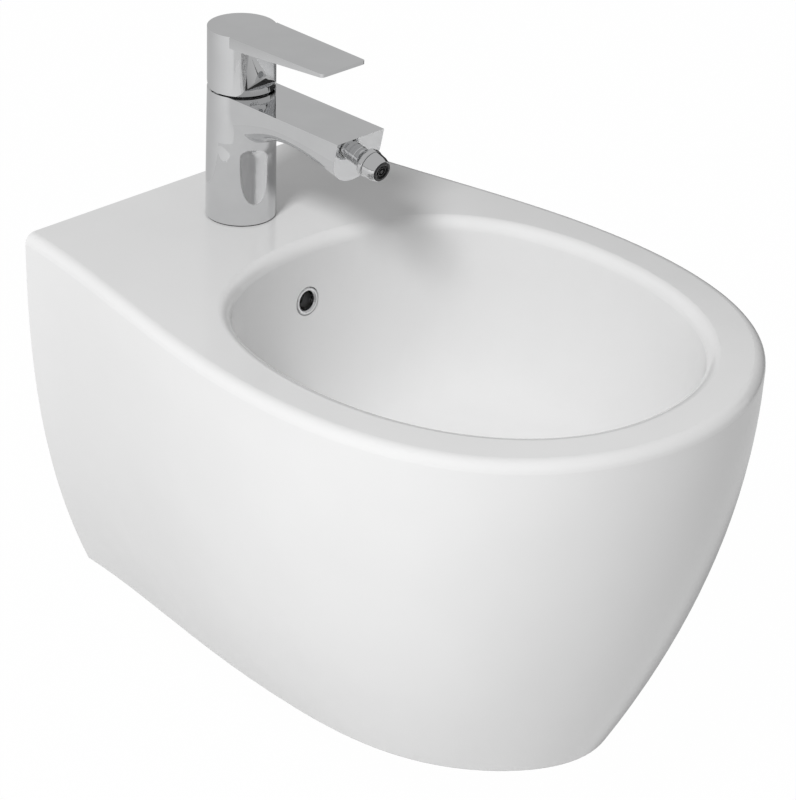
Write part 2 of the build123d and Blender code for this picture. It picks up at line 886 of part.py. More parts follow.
def cover_ring():
    low = tap_height
    profile = [
        (cover_bore, low + cover_rise - cover_thickness),
        (cartridge_nut_half - cover_lip, low),
        (cover_half, low),
        (cover_half, low + cover_thickness),
        (cover_bore + cover_slope_width, low + cover_rise),
        (cover_bore, low + cover_rise),
    ]
    return tap_place * turned(profile)


# Lever, in its rest place: down and straight ahead

lever_low = tap_height + lever_gap
scoop_low = lever_low + cap_band_height
root_low = lever_top_above_deck - lever_root_thickness
scoop_face_at = tap_top_half - scoop_depth


def lever_plate():
    """Flat bar from the cap to the tip, with a sloping underside."""
    outline = make_face(Polyline(
        (-lever_root_half, -lever_root_at),
        (lever_root_half, -lever_root_at),
        (lever_tip_half, -lever_reach),
        (-lever_tip_half, -lever_reach),
        close=True,
    ))
    corners = outline.vertices().group_by(Axis.Y)[0]
    outline = fillet(corners, lever_corner_round)
    plate = Pos(0, 0, root_low) * extrude(outline, lever_root_thickness)
    under = make_face(Plane.YZ * Polyline(
        (-lever_reach - past, lever_top_above_deck - lever_tip_thickness),
        (-tap_top_half, root_low),
        (-tap_top_half, root_low - past),
        (-lever_reach - past, root_low - past),
        close=True,
    ))
    return plate - extrude(under, lever_root_half + past, both=True)


def scoop():
    """Recess in the front of the cap, under the bar."""
    outline = Plane.XZ * Polyline(
        (-scoop_half_low, scoop_low),
        (scoop_half_low, scoop_low),
        (scoop_half_high, root_low),
        (-scoop_half_high, root_low),
        close=True,
    )
    return Pos(0, -scoop_face_at, 0) * extrude(make_face(outline), scoop_depth + past)


def lever_handle():
    block_top = lever_top_above_deck - cap_roof
    block_low = block_top - socket_block_depth
    cap = cylinder(tap_top_half, lever_low, lever_top_above_deck)
    handle = cap - scoop()
    handle += lever_plate()
    handle -= cylinder(cap_skirt_half, lever_low - past, lever_low + cap_skirt_depth)
    handle -= cylinder(cap_cavity_half, lever_low - past, block_top)

    # Behind the pivot the skirt is hollowed higher, so that it clears the cover ring when the lever lifts
    rear_top = lever_low + cap_skirt_rear_depth
    rear_half = cylinder(cap_skirt_half, lever_low - past, rear_top)
    rear_half &= box(-cap_skirt_half, cap_skirt_half, 0, cap_skirt_half, lever_low - past, rear_top)
    handle -= rear_half

    # Block inside the cap that takes the cartridge stem and the grub screw
    half = socket_block_side / 2
    side = stem_side / 2 + stem_clearance
    handle += box(-half, half, -half, half, block_low, block_top)
    handle += box(-half, half, -cap_cavity_half - past, 0, block_low, block_top)
    handle -= box(-side, side, -side, side, lever_low, stem_top_above_deck + socket_end_gap)
    handle -= grub_hole()

    # The back of the skirt is cut on a slope so that it clears the body when the lever lifts
    slope = tan(radians(lift_range + 1))
    rear = tap_top_half + past
    relief = make_face(Plane.YZ * Polyline(
        (lift_relief_start, lever_low - past),
        (lift_relief_start, lever_low),
        (rear, lever_low + (rear - lift_relief_start) * slope),
        (rear, lever_low - past),
        close=True,
    ))
    handle -= extrude(relief, rear, both=True)
    return tap_place * handle


def forward_bar(half, start, end, height):
    """Cylinder along -Y between two distances from the tap axis."""
    return Pos(0, -start, height) * Rot(X=90) * cylinder(half, 0, end - start)


screw_start = stem_side / 2 + stem_clearance
index_seat = scoop_face_at - index_thickness


def grub_hole():
    hole = forward_bar(grub_screw_half + thread_clearance, 0, index_seat, grub_screw_above_deck)
    return hole + forward_bar(index_half + running_clearance, index_seat, tap_top_half, grub_screw_above_deck)


def grub_screw():
    screw = forward_bar(grub_screw_half, screw_start, screw_start + grub_screw_length, grub_screw_above_deck)
    end = screw_start + grub_screw_length
    key = Plane(origin=(0, -end, grub_screw_above_deck), x_dir=(1, 0, 0), z_dir=(0, 1, 0))
    screw -= extrude(key * RegularPolygon(hex_key_half, 6, major_radius=False), hex_key_depth)
    return tap_place * screw


def index_button():
    return tap_place * forward_bar(
        index_half, index_seat, index_seat + index_thickness, grub_screw_above_deck
    )


# Nozzle, built about its own axis with height 0 at the spout face

def nozzle_adapter():
    adapter = cylinder(adapter_thread_half, adapter_end_gap - adapter_thread_length, 0)
    adapter += cylinder(adapter_neck_half, 0, adapter_neck_length)
    adapter += cylinder(ball_stem_half, adapter_neck_length, ball_at)
    adapter += Pos(0, 0, ball_at) * Sphere(ball_half)
    adapter -= cylinder(adapter_bore, -adapter_thread_length - past, ball_at + ball_half + past)
    return nozzle_place * adapter


def ball_liner():
    centre = Pos(0, 0, ball_at)
    liner = centre * Sphere(liner_outer) - centre * Sphere(ball_half + running_clearance)
    zone = cylinder(liner_outer + past, ball_at - liner_reach + liner_rear_cut, ball_at + liner_reach)
    return nozzle_place * (liner & zone)


def ball_nut():
    profile = [
        (0, ball_nut_rear),
        (ball_nut_rear_half, ball_nut_rear),
        (ball_nut_half, ball_nut_rear + ball_nut_bevel),
        (ball_nut_half, ball_nut_front - ball_nut_edge),
        (ball_nut_half - ball_nut_edge, ball_nut_front),
        (0, ball_nut_front),
    ]
    nut = turned(profile)
    nut -= Pos(0, 0, ball_at) * Sphere(socket_half)
    nut -= cylinder(nozzle_thread_half, ball_at, ball_nut_front + past)
    return nozzle_place * nut


def nozzle_tip():
    step = ball_nut_front
    profile = [
        (0, ball_at + running_clearance),
        (nozzle_thread_half - thread_clearance, ball_at + running_clearance),
        (nozzle_thread_half - thread_clearance, step),
        (nozzle_shoulder_half - nozzle_groove, step),
        (nozzle_shoulder_half, step + nozzle_groove),
        (nozzle_bulge_half, nozzle_bulge_at),
        (nozzle_end_half, nozzle_end),
        (0, nozzle_end),
    ]
    tip = turned(profile)
    tip -= Pos(0, 0, ball_at) * Sphere(socket_half)
    tip -= cylinder(nozzle_bore, ball_at, nozzle_end + past)
    return nozzle_place * tip


def aerator_housing():
    low = nozzle_end - aerator_length
    housing = cylinder(nozzle_bore - running_clearance, low, nozzle_end)
    housing += cylinder(aerator_flange_half, nozzle_end, nozzle_end + aerator_flange_thickness)
    housing -= cylinder(aerator_opening, low - past, nozzle_end + aerator_flange_thickness + past)
    return nozzle_place * housing


def aerator_insert():
    low = nozzle_end - aerator_length + insert_floor_gap
    high = nozzle_end + insert_rise
    insert = cylinder(insert_half, low, high - insert_ring_depth)
    insert += ring(insert_half, insert_half - insert_ring_wall, low, high)
    insert += ring(insert_ring_half, insert_ring_half - insert_ring_wall, low, high)
    insert += cylinder(insert_core_half, low, high)
    return nozzle_place * insert


os.makedirs("parts", exist_ok=True)
save(ceramic_body(), "ceramic_body")
save(overflow_ring(), "overflow_ring")
save(fixing_sleeves(), "fixing_sleeves")
save(fixing_washers(), "fixing_washers")
save(fixing_nuts(), "fixing_nuts")
save(waste_body(), "waste_body")
save(waste_top_seal(), "waste_top_seal")
save(waste_bottom_seal(), "waste_bottom_seal")
save(waste_slip_ring(), "waste_slip_ring")
save(waste_backnut(), "waste_backnut")
save(plug_barrel(), "plug_barrel")
save(plug_stem(), "plug_stem")
save(waste_plug(), "waste_plug")
save(plug_ring(), "plug_ring")
save(mixer_body(), "mixer_body")
save(base_gasket(), "base_gasket")
save(mixer_stud(), "mixer_stud")
save(horseshoe(gasket_low, -deck_thickness), "horseshoe_gasket")
save(horseshoe(plate_low, gasket_low), "horseshoe_plate")
save(stud_nut(), "stud_nut")
save(cartridge_housing(), "cartridge_housing")
save(fixed_disc(), "fixed_disc")
save(moving_disc(), "moving_disc")
save(disc_carrier(), "disc_carrier")
save(cartridge_turret(), "cartridge_turret")
save(pivot_pin(), "pivot_pin")
save(cartridge_stem(), "cartridge_stem")
save(cartridge_nut(), "cartridge_nut")
save(cover_ring(), "cover_ring")
save(lever_handle(), "lever_handle")
save(grub_screw(), "grub_screw")
save(index_button(), "index_button")
save(nozzle_adapter(), "nozzle_adapter")
save(ball_liner(), "ball_liner")
save(ball_nut(), "ball_nut")
save(nozzle_tip(), "nozzle_tip")
save(aerator_housing(), "aerator_housing")
save(aerator_insert(), "aerator_insert")
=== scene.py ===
import math

import bmesh
import bpy
import numpy as np
from mathutils import Matrix, Vector


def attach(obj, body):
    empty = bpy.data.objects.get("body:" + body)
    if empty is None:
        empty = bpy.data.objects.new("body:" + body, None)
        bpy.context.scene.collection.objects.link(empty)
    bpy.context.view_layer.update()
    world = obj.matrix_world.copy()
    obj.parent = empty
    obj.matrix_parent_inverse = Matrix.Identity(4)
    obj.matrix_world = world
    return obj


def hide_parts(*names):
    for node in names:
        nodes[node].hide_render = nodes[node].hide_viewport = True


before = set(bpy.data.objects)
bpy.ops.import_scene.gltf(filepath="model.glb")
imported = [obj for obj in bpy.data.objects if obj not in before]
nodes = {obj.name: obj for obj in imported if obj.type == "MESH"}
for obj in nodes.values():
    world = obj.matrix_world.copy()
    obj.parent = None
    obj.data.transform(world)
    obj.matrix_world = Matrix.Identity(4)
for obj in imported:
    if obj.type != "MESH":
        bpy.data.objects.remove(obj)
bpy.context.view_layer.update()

mm = 0.001


# Ceramic body
# One piece of vitreous china, slip cast in a plaster mould with its bowl, overflow duct and wall bosses,
# sprayed with white glaze and fired, so that its tone and its gloss drift very slightly over the surface.
def shader_of(material):
    """The one surface shader of a material made here."""
    return material.node_tree.nodes["Principled BSDF"]


def new_material(name, colour, roughness, metallic=0.0):
    """A named material with the finish's constant numbers on its shader's own sockets."""
    material = bpy.data.materials.new(name)
    material.use_nodes = True
    shader = shader_of(material)
    shader.inputs["Base Color"].default_value = (*colour, 1.0)
    shader.inputs["Roughness"].default_value = roughness
    shader.inputs["Metallic"].default_value = metallic
    return material


def noise(material, scale, detail=2.0, stretch=(1.0, 1.0, 1.0)):
    """A noise pattern that sits still on the object; scale is in patches a metre."""
    tree = material.node_tree
    place = tree.nodes.new("ShaderNodeTexCoord")
    mapping = tree.nodes.new("ShaderNodeMapping")
    mapping.inputs["Scale"].default_value = stretch
    texture = tree.nodes.new("ShaderNodeTexNoise")
    texture.inputs["Scale"].default_value = scale
    texture.inputs["Detail"].default_value = detail
    tree.links.new(place.outputs["Object"], mapping.inputs["Vector"])
    tree.links.new(mapping.outputs["Vector"], texture.inputs["Vector"])
    return texture.outputs["Fac"]


def shade_between(material, factor, dark, light, low=0.35, high=0.65):
    """Two tones of one colour, mixed by a pattern, into the base colour."""
    tree = material.node_tree
    ramp = tree.nodes.new("ShaderNodeValToRGB")
    ramp.color_ramp.elements[0].position = low
    ramp.color_ramp.elements[0].color = (*dark, 1.0)
    ramp.color_ramp.elements[1].position = high
    ramp.color_ramp.elements[1].color = (*light, 1.0)
    tree.links.new(factor, ramp.inputs["Fac"])
    tree.links.new(ramp.outputs["Color"], shader_of(material).inputs["Base Color"])


def roughness_between(material, factor, smooth, rough):
    """Roughness that drifts between two values with a pattern."""
    tree = material.node_tree
    spread = tree.nodes.new("ShaderNodeMapRange")
    spread.inputs["From Min"].default_value = 0.3
    spread.inputs["From Max"].default_value = 0.7
    spread.inputs["To Min"].default_value = smooth
    spread.inputs["To Max"].default_value = rough
    tree.links.new(factor, spread.inputs["Value"])
    tree.links.new(spread.outputs["Result"], shader_of(material).inputs["Roughness"])


def relief(material, height, distance):
    """Fine relief of the surface, as deep as distance in metres."""
    tree = material.node_tree
    bump = tree.nodes.new("ShaderNodeBump")
    bump.inputs["Strength"].default_value = 1.0
    bump.inputs["Distance"].default_value = distance
    tree.links.new(height, bump.inputs["Height"])
    tree.links.new(bump.outputs["Normal"], shader_of(material).inputs["Normal"])


glaze = new_material("white_glaze", (0.87, 0.87, 0.87), 0.16)
shade_between(glaze, noise(glaze, 9.0), (0.86, 0.86, 0.86), (0.88, 0.88, 0.88))
roughness_between(glaze, noise(glaze, 30.0), 0.13, 0.20)
relief(glaze, noise(glaze, 240.0, 1.0), 0.00002)
shader_of(glaze).inputs["Coat Weight"].default_value = 0.25
shader_of(glaze).inputs["Coat Roughness"].default_value = 0.05
nodes["ceramic_body"].material_slots[0].material = glaze


# Overflow ring
# A pressed brass ring, polished and chrome plated, that is pushed into the overflow hole at the back of
# the bowl. Its rolled front edge stands a little proud of the glaze.
def soft_profile(points, radius):
    """A profile of radius and height pairs with each corner turned into a small arc."""
    points = [Vector(point) for point in points]
    result = [points[0]]
    for before, corner, after in zip(points, points[1:], points[2:]):
        back = before - corner
        ahead = after - corner
        reach = min(radius, 0.45 * back.length, 0.45 * ahead.length)
        first = corner + back.normalized() * reach
        last = corner + ahead.normalized() * reach
        for step in range(5):
            share = step / 4
            result.append(first * (1 - share) ** 2 + corner * 2 * share * (1 - share) + last * share ** 2)
    result.append(points[-1])
    return result


def ring_at(bm, half, height, sides):
    """A ring of mesh points round the Z axis, from its radius and height in mm."""
    ring = []
    for side in range(sides):
        angle = 2 * math.pi * side / sides
        ring.append(bm.verts.new((half * mm * math.cos(angle), half * mm * math.sin(angle), height * mm)))
    return ring


def turned(name, profile, place, round_off=0.3, sides=128, closed=True):
    """A piece turned on a lathe: a profile of radius and height in mm swept round the Z of its place.

    A closed profile is a ring's section; an open one starts and ends on the axis.
    """
    if closed:
        centre = (Vector(profile[0]) + Vector(profile[-1])) / 2
        profile = [centre, *profile, centre]
    outline = soft_profile(profile, round_off)
    if closed:
        outline = outline[:-1]
    bm = bmesh.new()
    rings = []
    for half, height in outline:
        if half < 1e-6:
            rings.append([bm.verts.new((0.0, 0.0, height * mm))])
        else:
            rings.append(ring_at(bm, half, height, sides))
    pairs = list(zip(rings, rings[1:]))
    if closed:
        pairs.append((rings[-1], rings[0]))
    for low, high in pairs:
        if len(low) == 1 and len(high) == 1:
            continue
        for side in range(sides):
            after = (side + 1) % sides
            if len(low) == 1:
                bm.faces.new((low[0], high[after], high[side]))
            elif len(high) == 1:
                bm.faces.new((low[side], low[after], high[0]))
            else:
                bm.faces.new((low[side], low[after], high[after], high[side]))
    bmesh.ops.recalc_face_normals(bm, faces=bm.faces)
    bm.transform(place)
    return finished(name, bm)


def finished(name, bm, sharp=40.0):
    """A finished object from a mesh, smooth except across edges sharper than the angle."""
    mesh = bpy.data.meshes.new(name)
    bm.to_mesh(mesh)
    bm.free()
    mesh.shade_smooth()
    mesh.set_sharp_from_angle(angle=math.radians(sharp))
    piece = bpy.data.objects.new(name, mesh)
    bpy.context.scene.collection.objects.link(piece)
    return piece


def fit(piece, material, body, slot, *replaced):
    """Gives a piece its material and its body, and lets it stand for CAD nodes; slot is not used."""
    piece.data.materials.clear()
    piece.data.materials.append(material)
    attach(piece, body)
    if replaced:
        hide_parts(*replaced)
    return piece


def facing(origin, direction):
    """Place with its origin in mm and its Z along a direction."""
    turn = Vector(direction).to_track_quat("Z", "Y").to_matrix().to_4x4()
    return Matrix.Translation(Vector(origin) * mm) @ turn


chrome = new_material("polished_chrome", (0.69, 0.695, 0.70), 0.04, 1.0)
shade_between(chrome, noise(chrome, 45.0), (0.68, 0.684, 0.69), (0.70, 0.704, 0.71))
roughness_between(chrome, noise(chrome, 60.0), 0.025, 0.05)

overflow_centre = (0.0, -145.56, 34.0)
overflow_lean = math.radians(4.3)
overflow_place = facing(overflow_centre, (0.0, -math.cos(overflow_lean), math.sin(overflow_lean)))
ring_profile = [
    (7.2, -11.6), (8.6, -11.6), (8.6, -1.6), (10.8, -1.6),
    (10.8, -0.4), (9.9, 0.75), (8.5, 0.75), (7.2, -0.6),
]
overflow_ring = turned("overflow_ring_chrome", ring_profile, overflow_place, 0.5)
fit(overflow_ring, chrome, "fixed", "tap_chrome", "overflow_ring")


# Wall fixings
# A plastic sleeve keeps each steel stud off the china, and a zinc-plated washer and nut pull the body
# against the wall. Both sets are the same, so each piece is made once and set on the two studs.
def tree_input(group, name, kind, value):
    """A named input on a node group, with its value."""
    socket = group.interface.new_socket(name=name, in_out="INPUT", socket_type=kind)
    socket.default_value = value
    return socket.identifier


def on_studs(single, material, spacing):
    """Geometry Nodes: two points across the wall, one piece on each, made one mesh."""
    group = bpy.data.node_groups.new("pair_on_studs", "GeometryNodeTree")
    group.interface.new_socket(name="Geometry", in_out="OUTPUT", socket_type="NodeSocketGeometry")
    spacing_id = tree_input(group, "Stud spacing", "NodeSocketFloat", spacing)
    inputs = group.nodes.new("NodeGroupInput")
    outputs = group.nodes.new("NodeGroupOutput")
    half = group.nodes.new("ShaderNodeMath")
    half.operation = "MULTIPLY"
    half.inputs[1].default_value = -0.5
    start = group.nodes.new("ShaderNodeCombineXYZ")
    step = group.nodes.new("ShaderNodeCombineXYZ")
    line = group.nodes.new("GeometryNodeMeshLine")
    line.mode = "OFFSET"
    line.inputs["Count"].default_value = 2
    source = group.nodes.new("GeometryNodeObjectInfo")
    source.inputs["Object"].default_value = single
    place = group.nodes.new("GeometryNodeInstanceOnPoints")
    realize = group.nodes.new("GeometryNodeRealizeInstances")
    paint = group.nodes.new("GeometryNodeSetMaterial")
    paint.inputs["Material"].default_value = material
    link = group.links.new
    link(inputs.outputs["Stud spacing"], half.inputs[0])
    link(half.outputs[0], start.inputs["X"])
    link(inputs.outputs["Stud spacing"], step.inputs["X"])
    link(start.outputs[0], line.inputs["Start Location"])
    link(step.outputs[0], line.inputs["Offset"])
    link(line.outputs["Mesh"], place.inputs["Points"])
    link(source.outputs["Geometry"], place.inputs["Instance"])
    link(place.outputs["Instances"], realize.inputs["Geometry"])
    link(realize.outputs["Geometry"], paint.inputs["Geometry"])
    link(paint.outputs["Geometry"], outputs.inputs["Geometry"])
    return baked(single.name + "_pair", group, {spacing_id: spacing}, single)


def keep_result(piece):
    """Makes what the modifiers give the piece's own plain mesh and clears the modifiers away."""
    graph = bpy.context.evaluated_depsgraph_get()
    mesh = bpy.data.meshes.new_from_object(piece.evaluated_get(graph))
    piece.modifiers.clear()
    piece.data = mesh


def baked(name, group, values, *sources):
    """Runs a node group on an empty mesh, keeps its result as a plain mesh and clears the sources away."""
    holder = bpy.data.objects.new(name, bpy.data.meshes.new(name + "_empty"))
    bpy.context.scene.collection.objects.link(holder)
    modifier = holder.modifiers.new("make", "NODES")
    modifier.node_group = group
    for identifier, value in values.items():
        modifier[identifier] = value
    keep_result(holder)
    for source in sources:
        bpy.data.objects.remove(source)
    return holder


def hex_nut(name, flats, thickness, bore, place, chamfer=0.9):
    """A hexagon nut with turned chamfers on both faces and a bored hole, also chamfered at both ends."""
    sides = 96
    chamfer_slope = 0.6
    turned_share = 0.985
    bore_chamfer = 0.5
    corner = flats / math.sqrt(3)
    rows = [(-0.5 * thickness, True), (-0.5 * thickness + chamfer * chamfer_slope, False)]
    rows += [(0.5 * thickness - chamfer * chamfer_slope, False), (0.5 * thickness, True)]
    bm = bmesh.new()
    outer = []
    for height, end in rows:
        ring = []
        for side in range(sides):
            angle = 2 * math.pi * side / sides
            fold = (angle + math.pi / 6) % (math.pi / 3) - math.pi / 6
            reach = flats / 2 / math.cos(fold)
            if end:
                reach = min(reach, flats / 2 * turned_share)
            reach = min(reach, corner * turned_share)
            edge_point = (reach * mm * math.cos(angle), reach * mm * math.sin(angle), height * mm)
            ring.append(bm.verts.new(edge_point))
        outer.append(ring)
    bore_rows = [
        (0.5 * thickness, bore + bore_chamfer),
        (0.5 * thickness - bore_chamfer, bore),
        (-0.5 * thickness + bore_chamfer, bore),
        (-0.5 * thickness, bore + bore_chamfer),
    ]
    inner = [ring_at(bm, half, height, sides) for height, half in bore_rows]
    rings = outer + inner
    for low, high in zip(rings, rings[1:] + rings[:1]):
        for side in range(sides):
            after = (side + 1) % sides
            bm.faces.new((low[side], low[after], high[after], high[side]))
    bmesh.ops.recalc_face_normals(bm, faces=bm.faces)
    bm.transform(place)
    return finished(name, bm, 25.0)


zinc = new_material("zinc_plated_steel", (0.60, 0.60, 0.59), 0.32, 1.0)
shade_between(zinc, noise(zinc, 400.0, 4.0), (0.52, 0.52, 0.50), (0.66, 0.66, 0.65))
roughness_between(zinc, noise(zinc, 900.0), 0.26, 0.42)
relief(zinc, noise(zinc, 1500.0, 3.0), 0.00002)
white_plastic = new_material("natural_white_plastic", (0.80, 0.80, 0.77), 0.45)
shade_between(white_plastic, noise(white_plastic, 60.0), (0.77, 0.77, 0.735), (0.82, 0.82, 0.79))
relief(white_plastic, noise(white_plastic, 2500.0, 2.0), 0.000015)

stud_spacing = 180.0 * mm
away = (0.0, -1.0, 0.0)
at_wall = facing((0.0, 0.0, 0.0), away)
nut_from_wall = 32.5
sleeve_profile = [(6.5, 0.0), (8.8, 0.0), (8.8, 22.0), (15.0, 22.0), (15.0, 25.0), (6.5, 25.0)]
sleeve = turned("fixing_sleeve", sleeve_profile, at_wall, 0.4, 64)
washer_profile = [(6.5, 25.0), (13.0, 25.0), (13.0, 27.5), (6.5, 27.5)]
washer = turned("fixing_washer", washer_profile, at_wall, 0.3, 64)
nut = hex_nut("fixing_nut", 19.0, 10.0, 6.1, facing((0.0, -nut_from_wall, 0.0), away))
fit(on_studs(sleeve, white_plastic, stud_spacing), white_plastic, "fixed", "white_plastic", "fixing_sleeves")
fit(on_studs(washer, zinc, stud_spacing), zinc, "fixed", "zinc_steel", "fixing_washers")
fit(on_studs(nut, zinc, stud_spacing), zinc, "fixed", "zinc_steel", "fixing_nuts")


# Waste
# A turned brass tube with a flange in the bowl floor, screwed up from below by a brass back nut against a
# rubber cone and a plastic slip ring. The tube is chrome plated all over and the nut is left bare.
def thread_lines(material, pitch, low, high, depth):
    """Screw thread as relief between two heights: rings a pitch apart, with none outside the heights."""
    tree = material.node_tree
    place = tree.nodes.new("ShaderNodeTexCoord")
    split = tree.nodes.new("ShaderNodeSeparateXYZ")
    rise = tree.nodes.new("ShaderNodeMath")
    rise.operation = "MULTIPLY"
    rise.inputs[1].default_value = 1.0 / pitch
    wave = tree.nodes.new("ShaderNodeMath")
    wave.operation = "PINGPONG"
    wave.inputs[1].default_value = 0.5
    above = tree.nodes.new("ShaderNodeMath")
    above.operation = "GREATER_THAN"
    above.inputs[1].default_value = low
    below = tree.nodes.new("ShaderNodeMath")
    below.operation = "LESS_THAN"
    below.inputs[1].default_value = high
    inside = tree.nodes.new("ShaderNodeMath")
    inside.operation = "MULTIPLY"
    shown = tree.nodes.new("ShaderNodeMath")
    shown.operation = "MULTIPLY"
    link = tree.links.new
    link(place.outputs["Object"], split.inputs[0])
    link(split.outputs["Z"], rise.inputs[0])
    link(rise.outputs[0], wave.inputs[0])
    link(split.outputs["Z"], above.inputs[0])
    link(split.outputs["Z"], below.inputs[0])
    link(above.outputs[0], inside.inputs[0])
    link(below.outputs[0], inside.inputs[1])
    link(wave.outputs[0], shown.inputs[0])
    link(inside.outputs[0], shown.inputs[1])
    relief(material, shown.outputs[0], depth)


waste_from_wall = 245.0
bowl_floor = -70.0
waste_thread_high = -76.0
waste_thread_low = -154.0
back_nut_level = -126.5
upward = (0.0, 0.0, 1.0)
waste_chrome = new_material("waste_chrome", (0.80, 0.805, 0.815), 0.07, 1.0)
roughness_between(waste_chrome, noise(waste_chrome, 120.0), 0.05, 0.10)
thread_lines(waste_chrome, 2.31 * mm, waste_thread_low * mm, waste_thread_high * mm, 1.2 * mm)
brass = new_material("turned_brass", (0.72, 0.55, 0.28), 0.24, 1.0)
shade_between(brass, noise(brass, 150.0, 3.0), (0.62, 0.46, 0.22), (0.78, 0.61, 0.33))
roughness_between(brass, noise(brass, 300.0, 2.0, (0.1, 0.1, 3.0)), 0.18, 0.34)
rubber = new_material("black_rubber", (0.02, 0.02, 0.02), 0.6)
shade_between(rubber, noise(rubber, 200.0), (0.015, 0.015, 0.015), (0.032, 0.032, 0.032))
relief(rubber, noise(rubber, 3000.0, 2.0), 0.00002)

nodes["waste_body"].material_slots[0].material = waste_chrome
nodes["waste_top_seal"].material_slots[0].material = rubber
nodes["waste_bottom_seal"].material_slots[0].material = rubber
nodes["waste_slip_ring"].material_slots[0].material = white_plastic
back_nut_place = facing((0.0, -waste_from_wall, back_nut_level), upward)
back_nut = hex_nut("waste_back_nut", 58.0, 9.0, 20.96, back_nut_place, 1.6)
fit(back_nut, brass, "fixed", "raw_brass", "waste_backnut")


# Push-button plug
# A domed chrome cap on a brass stem that slides in a barrel on the waste's spider. It stands raised when
# the bowl drains, and one push lowers it onto its rubber ring.
cap_half = 28.5
cap_top = 16.1
dome_rise = 2.2
dome_half = 28.3
dome_steps = 14
cap_profile = [
    (0.0, 10.9), (22.3, 10.9), (22.6, 12.3), (25.4, 12.3), (25.7, 10.9), (cap_half, 10.9), (cap_half, 13.6),
]
dome_radius = (cap_half ** 2 + dome_rise ** 2) / (2 * dome_rise)
for step in range(1, dome_steps + 1):
    half = dome_half * math.cos(step / dome_steps * math.pi / 2)
    cap_profile.append((half, cap_top - dome_radius + math.sqrt(dome_radius ** 2 - half ** 2)))
cap_profile[-1] = (0.0, cap_top)
plug_place = facing((0.0, -waste_from_wall, bowl_floor), upward)
plug_cap = turned("plug_cap", cap_profile, plug_place, 0.35, 128, False)
fit(plug_cap, waste_chrome, "plug", "waste_chrome", "waste_plug")
nodes["plug_stem"].material_slots[0].material = brass
nodes["plug_barrel"].material_slots[0].material = brass
nodes["plug_ring"].material_slots[0].material = rubber


# Mixer body
# A brass casting, ground and chrome plated: a slightly tapering round body that flows into a flat-topped
# spout, thinnest half way along. The top and the end face are ground flat, the rest is polished round.
tap_at = 73.0
deck = 80.0
body_foot = 1.0
body_top = 100.0
foot_half = 26.2
body_taper = 1.2
spout_half = 22.5
spout_reach = 123.5
spout_end_depth = 37.0
face_tilt = math.radians(12.0)
station_at = np.array([16.0, 42.0, 68.0, 95.8, spout_reach, 136.0])
station_depth = np.array([40.0, 28.4, 24.5, 29.0, spout_end_depth, 41.2])
side_share = 0.39
skin_from = 8.0
skin_to = 134.0
melt_least = 1.0
melt_more = 11.0
melt_from = 12.0
melt_over = 24.0


def through(at, known_at, known):
    """Smooth curve through known values, a natural cubic spline."""
    count = len(known_at)
    gaps = np.diff(known_at)
    matrix = np.zeros((count, count))
    right = np.zeros(count)
    matrix[0, 0] = matrix[-1, -1] = 1.0
    for i in range(1, count - 1):
        matrix[i, i - 1] = gaps[i - 1]
        matrix[i, i] = 2 * (gaps[i - 1] + gaps[i])
        matrix[i, i + 1] = gaps[i]
        right[i] = 6 * ((known[i + 1] - known[i]) / gaps[i] - (known[i] - known[i - 1]) / gaps[i - 1])
    bend = np.linalg.solve(matrix, right)
    at = np.clip(at, known_at[0], known_at[-1])
    i = np.clip(np.searchsorted(known_at, at) - 1, 0, count - 2)
    gap = gaps[i]
    low = (known_at[i + 1] - at) / gap
    high = (at - known_at[i]) / gap
    curve = ((low ** 3 - low) * bend[i] + (high ** 3 - high) * bend[i + 1]) * gap ** 2 / 6
    return low * known[i] + high * known[i + 1] + curve


def mixer_skin(point):
    """How far a point lies outside the casting, in mm; the spout melts into the body more the lower it is."""
    x, y, z = point[..., 0], point[..., 1], point[..., 2]
    body = np.hypot(x, y) - (foot_half - body_taper * (z - body_foot) / (body_top - body_foot))
    depth = through(-y, station_at, station_depth)
    side = side_share * depth
    under = np.maximum(body_top - z - side, 0.0)
    belly = depth - side
    around = np.sqrt((x / spout_half) ** 2 + (under / belly) ** 2) + 1e-9
    slope = np.sqrt(x ** 2 / spout_half ** 4 + under ** 2 / belly ** 4 + 1e-12)
    ends = np.maximum(skin_from + y, -skin_to - y)
    spout = np.maximum((around - 1) * around / slope, ends)
    melt = melt_least + melt_more * np.clip((body_top - z - melt_from) / melt_over, 0.0, 1.0) ** 1.5
    near = np.maximum(melt - np.abs(body - spout), 0.0) / melt
    return np.minimum(body, spout) - near ** 2 * melt / 4


